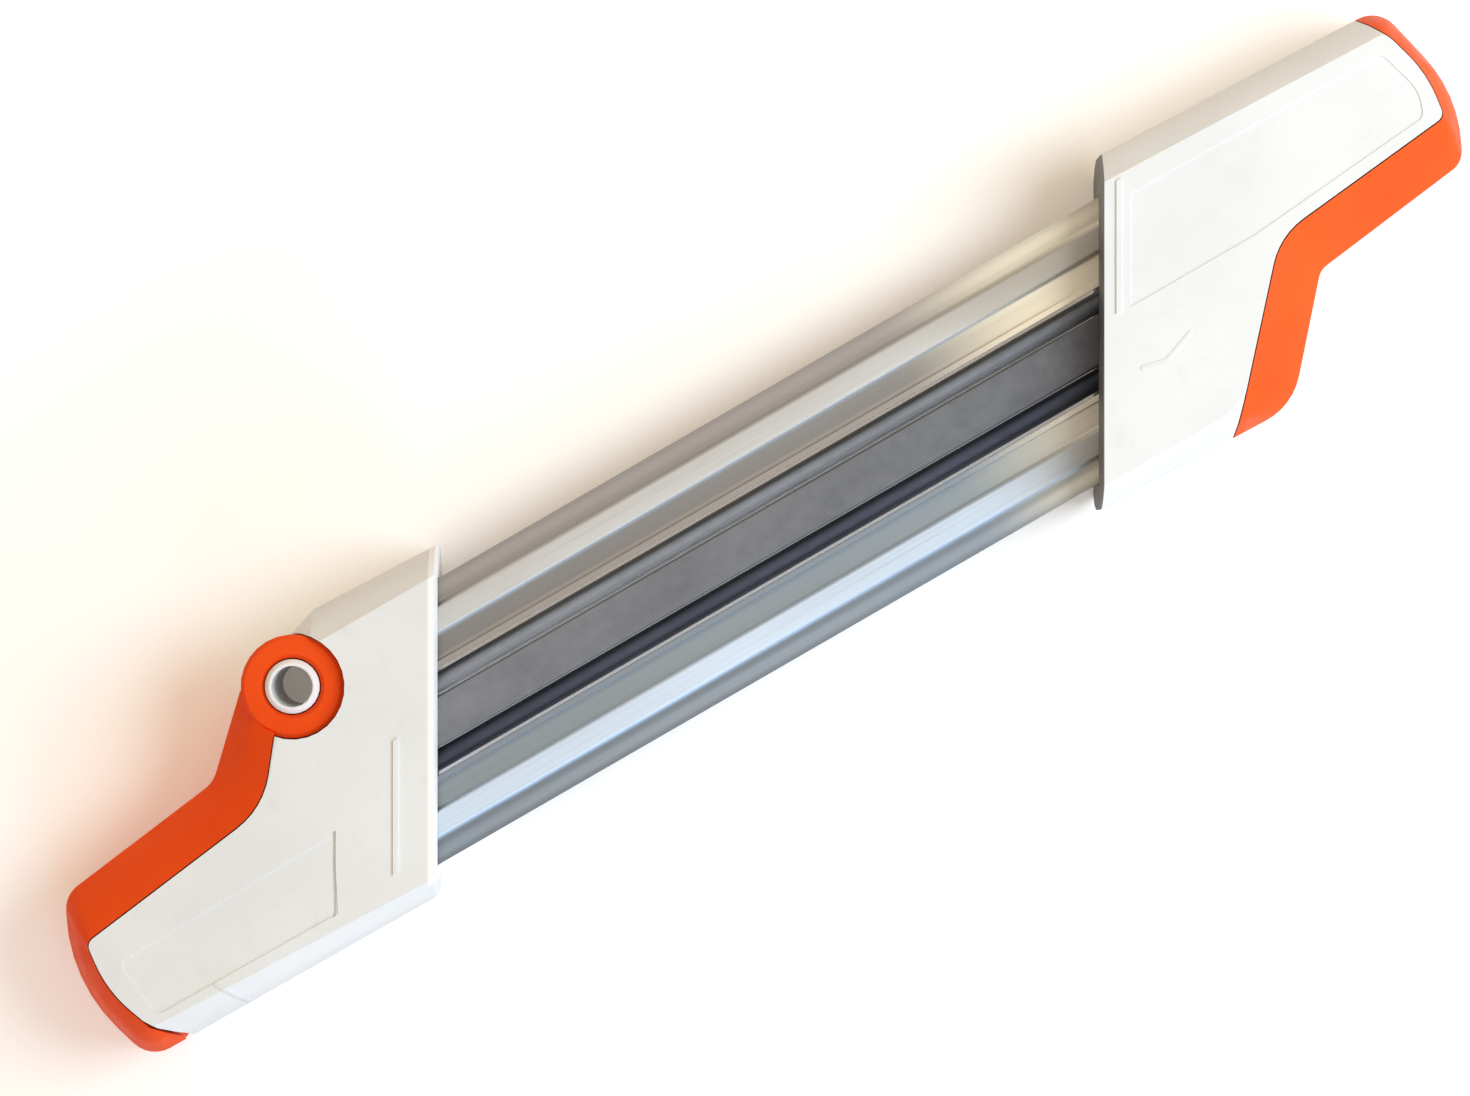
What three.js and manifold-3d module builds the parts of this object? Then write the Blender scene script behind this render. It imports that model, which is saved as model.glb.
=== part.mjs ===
// Chainsaw file guide. Two handles are joined by two formed steel guide rails, and the
// rails carry two round files with a flat file between them. A lever on the release
// handle turns about a hollow sleeve and locks that handle to one of the rails.
// Millimetres. +X runs along the files to the fixed handle, +Z is up, and zero height
// is the floor that the handles stand on. Each handle is drawn in one handle frame,
// with +X from the files to its rear end, and the release handle is turned half round.
import * as THREE from 'three';
import { mergeVertices } from 'three/addons/utils/BufferGeometryUtils.js';
import Module from 'manifold-3d';

const wasm = await Module();
wasm.setup();

// Overall layout
const fileLength = 203.2;
const fileSeating = 11.6;
const filingAngle = 30;
const handleLength = 98.8;
const handleMargin = 6.5;
const handleHeight = 34;
const gap = 0.3;
const overrun = 6;

// Files
const roundFileDiameter = 4.8;
const roundFileOffset = 7.9;
const roundFileShowShare = 0.2;
const flatFileWidth = 10.7;
const flatFileThickness = 3;
const flatFileEdge = 0.5;
const fileTipLength = 1.2;
const fileTipShare = 0.75;
const depthGaugeSetting = 0.65;

// Guide rails, a formed strip with a bead and a turned-up inner lip
const railHeight = 15.5;
const railSheet = 1.4;
const railInnerEdge = 11;
const railWidth = 18.3;
const railLip = 1;
const railReachShare = 0.283;
const beadHeight = 1;
const beadWidth = 7.2;
const beadInset = 6.3;
const beadWall = 1.4;
const tongueWidth = 4.3;
const tongueReach = 8;

// Handle shells
const wall = 2.6;
const floorThickness = 3;
const frontWall = 3;
const panelDepth = 0.3;
const stripHeight = 0.5;
const stripWidth = 1.3;
const grooveWidth = 0.9;
const grooveDepth = 0.8;
const guideStripDepth = 9.6;
const labelGrooveDepth = 26.3;
const frontStripDepth = 3.4;
const ribThickness = 1.6;
const seatRibs = 5;

// File seats and the buffers behind the files
const seatBack = 9.8;
const seatSide = 1.3;
const seatBelow = 6.3;
const seatAbove = 5.9;
const bufferThickness = 2;

// Lever and its sleeve
const pivotShares = [0.246, -0.674];
const sleeveRadius = 6.4;
const sleeveBore = 4.8;
const sleeveFoot = 0.8;
const sleeveTop = 32.8;
const sleeveFlangeRadius = 8.8;
const sleeveFlange = 1.8;
const ringRadius = 12.1;
const ringBottom = 21;
const ringTop = 31.8;
const ringEdge = 0.9;
const neckRadius = 8.5;
const camRadius = 9.6;
const camFlat = 7.9;
const camBelow = 2;
const camAbove = 1.4;
const leverSwing = 85;
const bandLift = 1.6;
const leverChannel = 6.8;
const leverChannelBottom = 7.4;
const leverChannelTop = 24.6;
const leverBays = 4;

// Screws, rail pins and the pegs of the grip trim
const screwHeadRadius = 3.1;
const screwHead = 2.2;
const screwSink = 1.4;
const screwRadius = 1.5;
const screwLength = 21;
const screwRecess = 1.2;
const screwRecessWidth = 0.8;
const screwRecessSpan = 3.4;
const bossRadius = 3.7;
const pinRadius = 1.5;
const pinBelow = 4.5;
const pinAbove = 4.9;
const pinDepth = 18;
const pegRadius = 2;
const pegLength = 6;

// Steps of an outline's rounded corner, of a round part and of a small round part
const arcSteps = 6;
const roundSteps = 28;
const smallSteps = 16;

const degree = Math.PI / 180;
const frontSlope = Math.tan(filingAngle * degree);
const fileSpan = fileLength - fileSeating * 2;
const splitHeight = railHeight + railSheet / 2;
const railTop = railHeight + railSheet;
const beadTop = railTop + beadHeight;
const railOuterEdge = railInnerEdge + railWidth;
const handleHalfWidth = railOuterEdge + handleMargin;
const railReach = handleLength * railReachShare;
const roundFileRadius = roundFileDiameter / 2;
const roundFileHeight = railHeight - roundFileDiameter * (0.5 - roundFileShowShare);
const flatFileBottom = railHeight - depthGaugeSetting;
const seatHalfWidth = railOuterEdge + seatSide;
const seatBottom = railHeight - seatBelow;
const seatTop = railHeight + seatAbove;
const pinBottom = railHeight - pinBelow;
const pinTop = railHeight + pinAbove;
const camBottom = railHeight - camBelow;
const camTop = railHeight + camAbove;
const seatEnd = fileSeating + gap + bufferThickness + gap + seatBack;
const cavityStart = seatEnd + gap + wall;
const pivot = {
  x: fileSpan / 2 + pivotShares[0] * handleLength,
  y: pivotShares[1] * handleHalfWidth,
};

// Materials
const whitePlastic = { color: 0xe9eaea, roughness: 0.5, metalness: 0 };
const orangePlastic = { color: 0xff5a1c, roughness: 0.45, metalness: 0 };
const darkPlastic = { color: 0x2c2d30, roughness: 0.6, metalness: 0 };
const rubber = { color: 0x1d1d1f, roughness: 0.85, metalness: 0 };
const polishedSteel = { color: 0xc9cbca, roughness: 0.22, metalness: 1 };
const fileSteel = { color: 0x77787a, roughness: 0.45, metalness: 1 };
const screwSteel = { color: 0xa6a8aa, roughness: 0.35, metalness: 1 };

// Corners seen from above: share of the handle's length behind the front wall, share of
// its half width, and how far from the corner its arc starts as a share of the half width.
const fixedOuterShares = [
  [-0.4, 1.11, 0],
  [0.962, 0.968, 0.15],
  [1.026, 0.222, 0.33],
  [0.952, -0.183, 0.08],
  [0.533, -0.328, 0.05],
  [0.315, -1.009, 0.2],
  [-0.4, -0.952, 0],
];
const releaseOuterShares = [
  [-0.4, 1, 0],
  [0.985, 0.972, 0.15],
  [1.06, 0.27, 0.44],
  [0.965, -0.238, 0.1],
  [0.528, -0.392, 0.07],
  [0.365, -0.82, 0.0065],
  [0.115, -1.045, 0.004],
  [-0.4, -0.987, 0],
];
// The border between a white shell and the orange piece along its grip, which is also
// the edge of the top face there
const fixedBorderShares = [
  [0.97, 0.44, 0.18],
  [0.955, 0.137, 0.05],
  [0.479, 0.001, 0.19],
];
const releaseBorderShares = [
  [0.98, 0.44, 0.2],
  [0.966, 0.105, 0.05],
  [0.446, -0.078, 0.22],
];
const fixedCrownShares = [
  [-0.4, 0.93, 0],
  [0.932, 0.8, 0.05],
  ...fixedBorderShares,
  [0.204, -0.838, 0.19],
  [-0.4, -0.838, 0],
];
const releaseCrownShares = [
  [-0.4, 0.93, 0],
  [0.94, 0.79, 0.05],
  ...releaseBorderShares,
  [0.27, -0.63, 0.002],
  [0.165, -0.838, 0.006],
  [-0.4, -0.838, 0],
];
const fixedWhiteShares = [
  [-0.4, 1.257, 0],
  [0.85, 1.257, 0],
  [0.94, 0.735, 0.03],
  ...fixedBorderShares,
  [0.06, -1.277, 0],
  [-0.4, -1.277, 0],
];
const hookEndShares = [
  [-0.4, 1.257, 0],
  [0.87, 1.257, 0],
  [0.886, 0.94, 0.004],
  [0.934, 0.785, 0.0085],
];
const leverJoinShares = [0.323, -0.506, 0];
const hookTipShares = [0.874, 0.978, 0];
const hookSideShares = [0.86, 0.785, 0];
const leverChannelShares = [[0.43, 0, 0], [0.92, 0, 0]];
const shoulderShares = [0.19, -1.257, 0];
const innerShoulderShares = [-0.4, -1.257, 0];

// Heights as shares of the handle's height, each with how far the section has gone from
// the outer outline to the crown.
const crownLevelShares = [
  [0, 0.6],
  [0.09, 0.24],
  [0.24, 0],
  [0.74, 0],
  [0.9, 0.45],
  [1, 1],
];
const cavityLevelShares = [0.5, 0, 0, 0.8];
const screwShares = [
  [0.516, 0.74],
  [0.855, 0.62],
  [0.486, 0.17],
];
const fixedScrewShares = [0.207, -0.6];
const pegShares = [0.16, 0.5, 0.84];

// Geometry helpers
function toSolid(geometry) {
  const bare = geometry.index ? geometry.toNonIndexed() : geometry.clone();
  bare.deleteAttribute('normal');
  bare.deleteAttribute('uv');
  const merged = mergeVertices(bare);
  return new wasm.Manifold(new wasm.Mesh({
    numProp: 3,
    vertProperties: new Float32Array(merged.attributes.position.array),
    triVerts: new Uint32Array(merged.index.array),
  }));
}

function toGeometry(solid) {
  const mesh = solid.getMesh();
  const geometry = new THREE.BufferGeometry();
  geometry.setAttribute('position', new THREE.BufferAttribute(mesh.vertProperties, mesh.numProp));
  geometry.setIndex(new THREE.BufferAttribute(mesh.triVerts, 1));
  geometry.computeVertexNormals();
  return geometry;
}

function joined(solids) {
  return solids.reduce((whole, solid) => whole.add(solid));
}

function cut(solid, tools) {
  return tools.reduce((rest, tool) => rest.subtract(tool), solid);
}

function block(low, high) {
  const size = high.map((value, axis) => value - low[axis]);
  const centre = high.map((value, axis) => (value + low[axis]) / 2);
  return toSolid(new THREE.BoxGeometry(...size).translate(...centre));
}

function prism(points, bottom, top) {
  const shape = new THREE.Shape(points.map((point) => new THREE.Vector2(point.x, point.y)));
  const options = { depth: top - bottom, bevelEnabled: false };
  return toSolid(new THREE.ExtrudeGeometry(shape, options).translate(0, 0, bottom));
}

// A section drawn across the files, as (across, up), run along them
function alongFiles(section, start, end) {
  const shape = new THREE.Shape(section.map(([across, up]) => new THREE.Vector2(across, up)));
  const options = { depth: end - start, bevelEnabled: false };
  const turn = new THREE.Matrix4().makeBasis(
    new THREE.Vector3(0, 1, 0),
    new THREE.Vector3(0, 0, 1),
    new THREE.Vector3(1, 0, 0),
  );
  return toSolid(new THREE.ExtrudeGeometry(shape, options).applyMatrix4(turn).translate(start, 0, 0));
}

// A turned piece about an upright axis, from (radius, height) points
function turned(profile, centre, steps = roundSteps) {
  const points = profile.map(([radius, height]) => new THREE.Vector2(radius, height));
  const geometry = new THREE.LatheGeometry(points, steps);
  return toSolid(geometry.rotateX(Math.PI / 2).translate(centre.x, centre.y, 0));
}

function disc(centre, radius, bottom, top, steps = roundSteps) {
  return turned([[0, bottom], [radius, bottom], [radius, top], [0, top]], centre, steps);
}

function smallDisc(centre, radius, bottom, top) {
  return disc(centre, radius, bottom, top, smallSteps);
}

function circleSection(across, up, radius) {
  return Array.from({ length: roundSteps }, (_, step) => {
    const angle = (step / roundSteps) * 2 * Math.PI;
    return [across + radius * Math.cos(angle), up + radius * Math.sin(angle)];
  });
}

function cornersFrom(shares) {
  return shares.map(([along, across, arc]) => ({
    x: fileSpan / 2 + along * handleLength,
    y: across * handleHalfWidth,
    arc: arc * handleHalfWidth,
  }));
}

// Rounded outline: a corner that has an arc is replaced by its equal steps
function rounded(corners) {
  return corners.flatMap((corner, index) => {
    if (corner.arc === 0) return [new THREE.Vector2(corner.x, corner.y)];
    const before = corners[(index + corners.length - 1) % corners.length];
    const after = corners[(index + 1) % corners.length];
    const here = new THREE.Vector2(corner.x, corner.y);
    const toBefore = new THREE.Vector2(before.x, before.y).sub(here).normalize();
    const toAfter = new THREE.Vector2(after.x, after.y).sub(here).normalize();
    const half = Math.acos(THREE.MathUtils.clamp(toBefore.dot(toAfter), -1, 1)) / 2;
    const bisector = toBefore.clone().add(toAfter).normalize();
    const centre = here.clone().addScaledVector(bisector, corner.arc / Math.cos(half));
    const start = here.clone().addScaledVector(toBefore, corner.arc).sub(centre);
    const end = here.clone().addScaledVector(toAfter, corner.arc).sub(centre);
    const sweep = Math.atan2(start.cross(end), start.dot(end));
    return Array.from({ length: arcSteps + 1 }, (_, step) => (
      start.clone().rotateAround(new THREE.Vector2(), (sweep * step) / arcSteps).add(centre)
    ));
  });
}

// Corners moved inward by a distance, or outward by a negative one
function inset(corners, distance) {
  const points = corners.map(({ x, y }) => new THREE.Vector2(x, y));
  const turn = THREE.ShapeUtils.isClockWise(points) ? -1 : 1;
  const count = corners.length;
  return corners.map((corner, index) => {
    const here = points[index];
    const into = here.clone().sub(points[(index + count - 1) % count]).normalize();
    const out = points[(index + 1) % count].clone().sub(here).normalize();
    const normal = (edge) => new THREE.Vector2(-edge.y, edge.x).multiplyScalar(turn);
    const middle = normal(into).add(normal(out)).normalize();
    const reach = distance / middle.dot(normal(out));
    const bend = Math.tan(Math.atan2(into.cross(out), into.dot(out)) / 2) * turn;
    const arc = Math.max(corner.arc - bend * distance, corner.arc / arcSteps);
    return {
      x: here.x + middle.x * reach,
      y: here.y + middle.y * reach,
      arc: corner.arc === 0 ? 0 : arc,
    };
  });
}

// A closed body through stacked outlines with equal numbers of points
function lofted(outer, crown, levels) {
  const outerPoints = rounded(outer);
  const crownPoints = rounded(crown);
  const count = outerPoints.length;
  const positions = levels.flatMap(([height, share]) => outerPoints.flatMap((point, index) => {
    const place = point.clone().lerp(crownPoints[index], share);
    return [place.x, place.y, height];
  }));
  const side = THREE.ShapeUtils.isClockWise(outerPoints) ? -1 : 1;
  const triangles = [];
  const addTriangle = (a, b, c) => triangles.push(...(side > 0 ? [a, b, c] : [a, c, b]));
  for (let level = 0; level < levels.length - 1; level += 1) {
    for (let index = 0; index < count; index += 1) {
      const next = (index + 1) % count;
      const low = level * count;
      const high = low + count;
      addTriangle(low + index, low + next, high + next);
      addTriangle(low + index, high + next, high + index);
    }
  }
  const capAt = (level, upward) => {
    const [, share] = levels[level];
    const ring = outerPoints.map((point, index) => point.clone().lerp(crownPoints[index], share));
    THREE.ShapeUtils.triangulateShape(ring, []).forEach((face) => {
      const [a, b, c] = face.map((vertex) => vertex + level * count);
      const area = new THREE.Vector2().subVectors(ring[face[1]], ring[face[0]])
        .cross(new THREE.Vector2().subVectors(ring[face[2]], ring[face[0]]));
      triangles.push(...((area > 0) === upward ? [a, b, c] : [a, c, b]));
    });
  };
  capAt(0, false);
  capAt(levels.length - 1, true);
  const geometry = new THREE.BufferGeometry();
  geometry.setAttribute('position', new THREE.Float32BufferAttribute(positions, 3));
  geometry.setIndex(triangles);
  return toSolid(geometry);
}

// Places behind a front wall, in the handle frame
function behindFront(across, depth) {
  return fileSpan / 2 + across * frontSlope + depth;
}

function slantedBlock(depths, acrosses, heights) {
  const [near, far] = depths;
  const [left, right] = acrosses;
  return prism([
    { x: behindFront(left, near), y: left },
    { x: behindFront(left, far), y: left },
    { x: behindFront(right, far), y: right },
    { x: behindFront(right, near), y: right },
  ], ...heights);
}

// The hook's inner face turns about the pivot on this radius
const [hookTip] = cornersFrom([hookTipShares]);
const hookRadius = Math.hypot(hookTip.x - pivot.x, hookTip.y - pivot.y);

const farDepth = handleLength * 2;
const farAcross = handleHalfWidth * 2;

function rearHalf(depth, bottom, top) {
  return slantedBlock([depth, farDepth], [-farAcross, farAcross], [bottom, top]);
}

function fileEnd(across) {
  return fileLength / 2 + across * frontSlope;
}

// Files
function fileTurned(radius, length) {
  const tip = radius * fileTipShare;
  const profile = [
    [0, 0],
    [tip, 0],
    [radius, fileTipLength],
    [radius, length - fileTipLength],
    [tip, length],
    [0, length],
  ];
  const points = profile.map(([out, up]) => new THREE.Vector2(out, up));
  return new THREE.LatheGeometry(points, roundSteps).rotateZ(-Math.PI / 2);
}

function roundFile(across) {
  const geometry = fileTurned(roundFileRadius, fileLength);
  return toSolid(geometry.translate(across * frontSlope - fileLength / 2, across, roundFileHeight));
}

function flatFile() {
  const half = flatFileWidth / 2;
  const top = flatFileBottom + flatFileThickness;
  const section = [
    [-half + flatFileEdge, flatFileBottom],
    [half - flatFileEdge, flatFileBottom],
    [half, flatFileBottom + flatFileEdge],
    [half, top - flatFileEdge],
    [half - flatFileEdge, top],
    [-half + flatFileEdge, top],
    [-half, top - flatFileEdge],
    [-half, flatFileBottom + flatFileEdge],
  ];
  return alongFiles(section, -fileLength / 2, fileLength / 2);
}

// Rails: one strip with a flat-topped bead and a lip turned up beside the files
function beadRise(across) {
  const fromEdge = Math.min(across, beadWidth - across);
  const share = THREE.MathUtils.clamp(fromEdge / beadWall, 0, 1);
  return beadHeight * THREE.MathUtils.smootherstep(share, 0, 1);
}

const beadStepShares = [0, 0.07, 0.13, 0.2, 0.5, 0.8, 0.87, 0.93, 1];

function railSection(side) {
  const beadStart = railInnerEdge + beadInset;
  const bead = beadStepShares.map((share) => [
    beadStart + share * beadWidth,
    beadRise(share * beadWidth),
  ]);
  const under = bead.map(([across, rise]) => [across, railHeight + rise]);
  const over = bead.map(([across, rise]) => [across, railTop + rise]).reverse();
  const section = [
    [railInnerEdge, railHeight],
    ...under,
    [railOuterEdge, railHeight],
    [railOuterEdge, railTop],
    ...over,
    [railInnerEdge + railSheet, railTop],
    [railInnerEdge + railSheet, railTop + railLip],
    [railInnerEdge, railTop + railLip],
  ];
  return section.map(([across, up]) => [side * across, up]);
}

// The slanted line that ends a rail inside a handle, in the handle frame
function railEndLine(side, reach) {
  const near = side * (railInnerEdge - overrun);
  const far = side * (railOuterEdge + overrun);
  return [
    { x: behindFront(near, reach), y: near },
    { x: behindFront(far, reach), y: far },
  ];
}

const halfTurn = ({ x, y }) => ({ x: -x, y: -y });

function guideRail(side, locked) {
  const reach = locked ? railReach - wall : railReach;
  const fixedEnd = railEndLine(side, railReach);
  const releaseEnd = railEndLine(-side, reach).map(halfTurn);
  const keep = prism([...fixedEnd, ...releaseEnd.reverse()], 0, handleHeight);
  const tongueEnd = pivot.x + tongueReach;
  let strip = alongFiles(railSection(side), -fileSpan, fileSpan);
  if (locked) {
    const tongueSpan = [side * (railInnerEdge - overrun), side * (railInnerEdge + tongueWidth)];
    const tongue = block(
      [-tongueEnd, Math.min(...tongueSpan), 0],
      [0, Math.max(...tongueSpan), handleHeight],
    );
    const notch = disc(halfTurn(pivot), camRadius + gap, 0, handleHeight);
    strip = strip.intersect(keep.add(tongue)).subtract(notch);
  } else {
    strip = strip.intersect(keep);
  }
  return cut(strip, pinPlaces(side).map((place) => smallDisc(place, pinRadius + gap, 0, handleHeight)));
}

// Pins stand in the middle of the two flanges of each rail, in the fixed handle
function pinPlaces(side) {
  const beadStart = railInnerEdge + beadInset;
  const beadEnd = beadStart + beadWidth;
  const flanges = [
    (railInnerEdge + railSheet + beadStart) / 2,
    (beadEnd + railOuterEdge) / 2,
  ];
  return flanges.map((across) => ({ x: behindFront(side * across, pinDepth), y: side * across }));
}

// The block that carries the ends of the files and rails in a handle
function fileTunnels(clearance) {
  const start = fileSpan / 2 - farAcross;
  const round = [-1, 1].map((side) => {
    const across = side * roundFileOffset;
    const end = fileEnd(across) + gap + bufferThickness + gap;
    const section = circleSection(across, roundFileHeight, roundFileRadius + clearance);
    return alongFiles(section, start, end);
  });
  const half = flatFileWidth / 2 + clearance;
  const flat = block(
    [start, -half, flatFileBottom - clearance],
    [fileEnd(0) + gap + bufferThickness + gap, half, flatFileBottom + flatFileThickness + clearance],
  );
  return [...round, flat];
}

function railTunnels(clearance, depth) {
  const start = fileSpan / 2 - farAcross;
  return [-1, 1].map((side) => {
    const edges = [side * (railInnerEdge - clearance), side * (railOuterEdge + clearance)];
    const tunnel = block(
      [start, Math.min(...edges), railHeight - clearance],
      [start + farDepth * 2, Math.max(...edges), beadTop + clearance],
    );
    const limit = slantedBlock([-farDepth, depth], [-farAcross, farAcross], [0, handleHeight]);
    return tunnel.intersect(limit);
  });
}

function fileSeat(pinned) {
  const body = slantedBlock(
    [frontWall + gap, seatEnd],
    [-seatHalfWidth, seatHalfWidth],
    [seatBottom, seatTop],
  );
  const seat = cut(body, [...fileTunnels(gap), ...railTunnels(gap, farDepth)]);
  if (!pinned) return seat;
  const pinHoles = [-1, 1].flatMap((side) => pinPlaces(side).map((place) => (
    smallDisc(place, pinRadius + gap, pinBottom - gap, pinTop + gap)
  )));
  return cut(seat, pinHoles);
}

function buffer(across) {
  const start = fileEnd(across) + gap;
  if (across === 0) {
    const half = flatFileWidth / 2;
    return block(
      [start, -half, flatFileBottom],
      [start + bufferThickness, half, flatFileBottom + flatFileThickness],
    );
  }
  const section = circleSection(across, roundFileHeight, roundFileRadius);
  return alongFiles(section, start, start + bufferThickness);
}

// Handles
const crownLevels = crownLevelShares.map(([height, share]) => [height * handleHeight, share]);

function handleBody(outerShares, crownShares) {
  return lofted(cornersFrom(outerShares), cornersFrom(crownShares), crownLevels);
}

function gripCavity(outerShares, crownShares, whiteCorners) {
  const [, , sideFoot, sideHead] = crownLevels.map(([height]) => height);
  const heights = [floorThickness, sideFoot, sideHead, handleHeight - floorThickness];
  const levels = heights.map((height, index) => [height, cavityLevelShares[index]]);
  const hollow = lofted(
    inset(cornersFrom(outerShares), wall),
    inset(cornersFrom(crownShares), wall),
    levels,
  );
  const bounds = prism(rounded(inset(whiteCorners, wall)), 0, handleHeight);
  return hollow.intersect(bounds).intersect(rearHalf(cavityStart, 0, handleHeight));
}

// The window in the front wall that the files pass through
function fileWindow() {
  return slantedBlock(
    [-farAcross, frontWall + gap],
    [-railInnerEdge, railInnerEdge],
    [roundFileHeight - roundFileRadius - gap, flatFileBottom + flatFileThickness + gap],
  );
}

// Hollows above and below the seat, with ribs between them that bear on it
function seatHollows() {
  const count = seatRibs;
  const span = seatHalfWidth - wall;
  const pitch = (2 * span) / count;
  return Array.from({ length: count }, (_, index) => {
    const left = -span + index * pitch + ribThickness / 2;
    const right = left + pitch - ribThickness;
    const depths = [frontWall + gap + wall, seatEnd];
    const above = [seatTop, handleHeight - floorThickness - wall];
    const below = [floorThickness, seatBottom];
    return slantedBlock(depths, [left, right], above)
      .add(slantedBlock(depths, [left, right], below));
  });
}

function seatChamber() {
  return slantedBlock(
    [frontWall, seatEnd + gap],
    [-seatHalfWidth - gap, seatHalfWidth + gap],
    [seatBottom - gap, seatTop + gap],
  );
}

function screwPlaces(extra) {
  return [...screwShares, ...extra].map(([along, across]) => ({
    x: fileSpan / 2 + along * handleLength,
    y: across * handleHalfWidth,
  }));
}

function screwBosses(places) {
  return places.map((place) => (
    smallDisc(place, bossRadius, floorThickness, handleHeight - floorThickness)
  ));
}

function screwHoles(places) {
  const headTop = screwSink + screwHead;
  return places.flatMap((place) => [
    smallDisc(place, screwHeadRadius + gap, -overrun, headTop + gap),
    smallDisc(place, screwRadius + gap, 0, screwSink + screwLength + gap),
  ]);
}

function screw(place) {
  const headTop = screwSink + screwHead;
  const body = turned([
    [0, screwSink],
    [screwHeadRadius, screwSink],
    [screwHeadRadius, headTop],
    [screwRadius, headTop],
    [screwRadius, screwSink + screwLength - screwRadius],
    [0, screwSink + screwLength],
  ], place, smallSteps);
  const arm = screwRecessSpan / 2;
  const slot = screwRecessWidth / 2;
  const slots = [[arm, slot], [slot, arm]].map(([halfX, halfY]) => block(
    [place.x - halfX, place.y - halfY, 0],
    [place.x + halfX, place.y + halfY, screwSink + screwRecess],
  ));
  return cut(body, slots);
}

// The peg places are shares of the straight edge of the border along the grip
function pegLines() {
  const [, from, to] = cornersFrom(fixedBorderShares);
  const edge = new THREE.Vector2(to.x - from.x, to.y - from.y);
  const inward = new THREE.Vector2(edge.y, -edge.x).normalize();
  return pegShares.map((share) => ({
    start: new THREE.Vector2(from.x, from.y).addScaledVector(edge, share),
    inward: inward.y > 0 ? inward : inward.negate(),
  }));
}

function pegs(radius, length) {
  return pegLines().map(({ start, inward }) => {
    const geometry = new THREE.CylinderGeometry(radius, radius, length + overrun, smallSteps);
    const middle = start.clone().addScaledVector(inward, (length - overrun) / 2);
    const angle = Math.atan2(inward.y, inward.x) - Math.PI / 2;
    return toSolid(geometry.rotateZ(angle).translate(middle.x, middle.y, splitHeight));
  });
}

// Recesses and raised strips in the top face
const labelPanelShares = [
  [0.332, 0.293, 0],
  [0.418, 0.754, 0],
  [0.908, 0.74, 0.053],
  [0.925, 0.32, 0.055],
];
const widePanelShares = [
  [0.09, 0.084, 0],
  [0.225, 0.726, 0],
  [0.9, 0.7, 0.057],
  [0.935, 0.36, 0.1],
  [0.912, 0.2, 0.04],
  [0.43, 0.084, 0.003],
];
const labelGrooveShares = [0.28, 0.76];
const guideStripShares = [-0.04, 0.72];
const frontStripShares = [0.09, 0.84];

function topRecess(shares) {
  const corners = cornersFrom(shares);
  return prism(rounded(corners), handleHeight - panelDepth, handleHeight + overrun);
}

function acrossStrip(shares, depth, width, bottom, top) {
  const ends = shares.map((share) => share * handleHalfWidth);
  return slantedBlock([depth, depth + width], ends, [bottom, top]);
}

function splitShells(body, topCuts, topAdds) {
  const low = block(
    [-farDepth * 2, -farDepth, -overrun],
    [farDepth * 2, farDepth, splitHeight - gap / 2],
  );
  const high = block(
    [-farDepth * 2, -farDepth, splitHeight + gap / 2],
    [farDepth * 2, farDepth, handleHeight + overrun],
  );
  const top = joined([cut(body.intersect(high), topCuts), ...topAdds]);
  return { top, bottom: body.intersect(low) };
}

function fixedShells() {
  const whiteCorners = cornersFrom(fixedWhiteShares);
  const places = screwPlaces([fixedScrewShares]);
  const blank = handleBody(fixedOuterShares, fixedCrownShares)
    .intersect(rearHalf(0, 0, handleHeight))
    .intersect(prism(rounded(whiteCorners), 0, handleHeight));
  const hollow = cut(gripCavity(fixedOuterShares, fixedCrownShares, whiteCorners), screwBosses(places));
  const body = cut(blank, [
    hollow,
    seatChamber(),
    ...seatHollows(),
    fileWindow(),
    ...railTunnels(gap, railReach + gap),
    ...screwHoles(places),
    ...pegs(pegRadius + gap, pegLength + gap),
  ]);
  const strip = acrossStrip(
    frontStripShares, frontStripDepth, stripWidth, handleHeight, handleHeight + stripHeight,
  );
  return splitShells(body, [topRecess(widePanelShares)], [strip]);
}

function gripTrim() {
  const whiteCorners = cornersFrom(fixedWhiteShares);
  const band = handleBody(fixedOuterShares, fixedCrownShares)
    .intersect(rearHalf(0, bandLift, handleHeight))
    .subtract(prism(rounded(inset(whiteCorners, -gap)), 0, handleHeight));
  return joined([band, ...pegs(pegRadius, pegLength)
    .map((peg) => peg.intersect(handleBody(fixedOuterShares, fixedCrownShares)))]);
}

function releaseWhiteCorners() {
  const tail = [leverJoinShares];
  const end = [shoulderShares, innerShoulderShares];
  return [
    ...cornersFrom([...hookEndShares, ...releaseBorderShares, ...tail]),
    { ...pivot, arc: 0 },
    ...cornersFrom(end),
  ];
}

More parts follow.
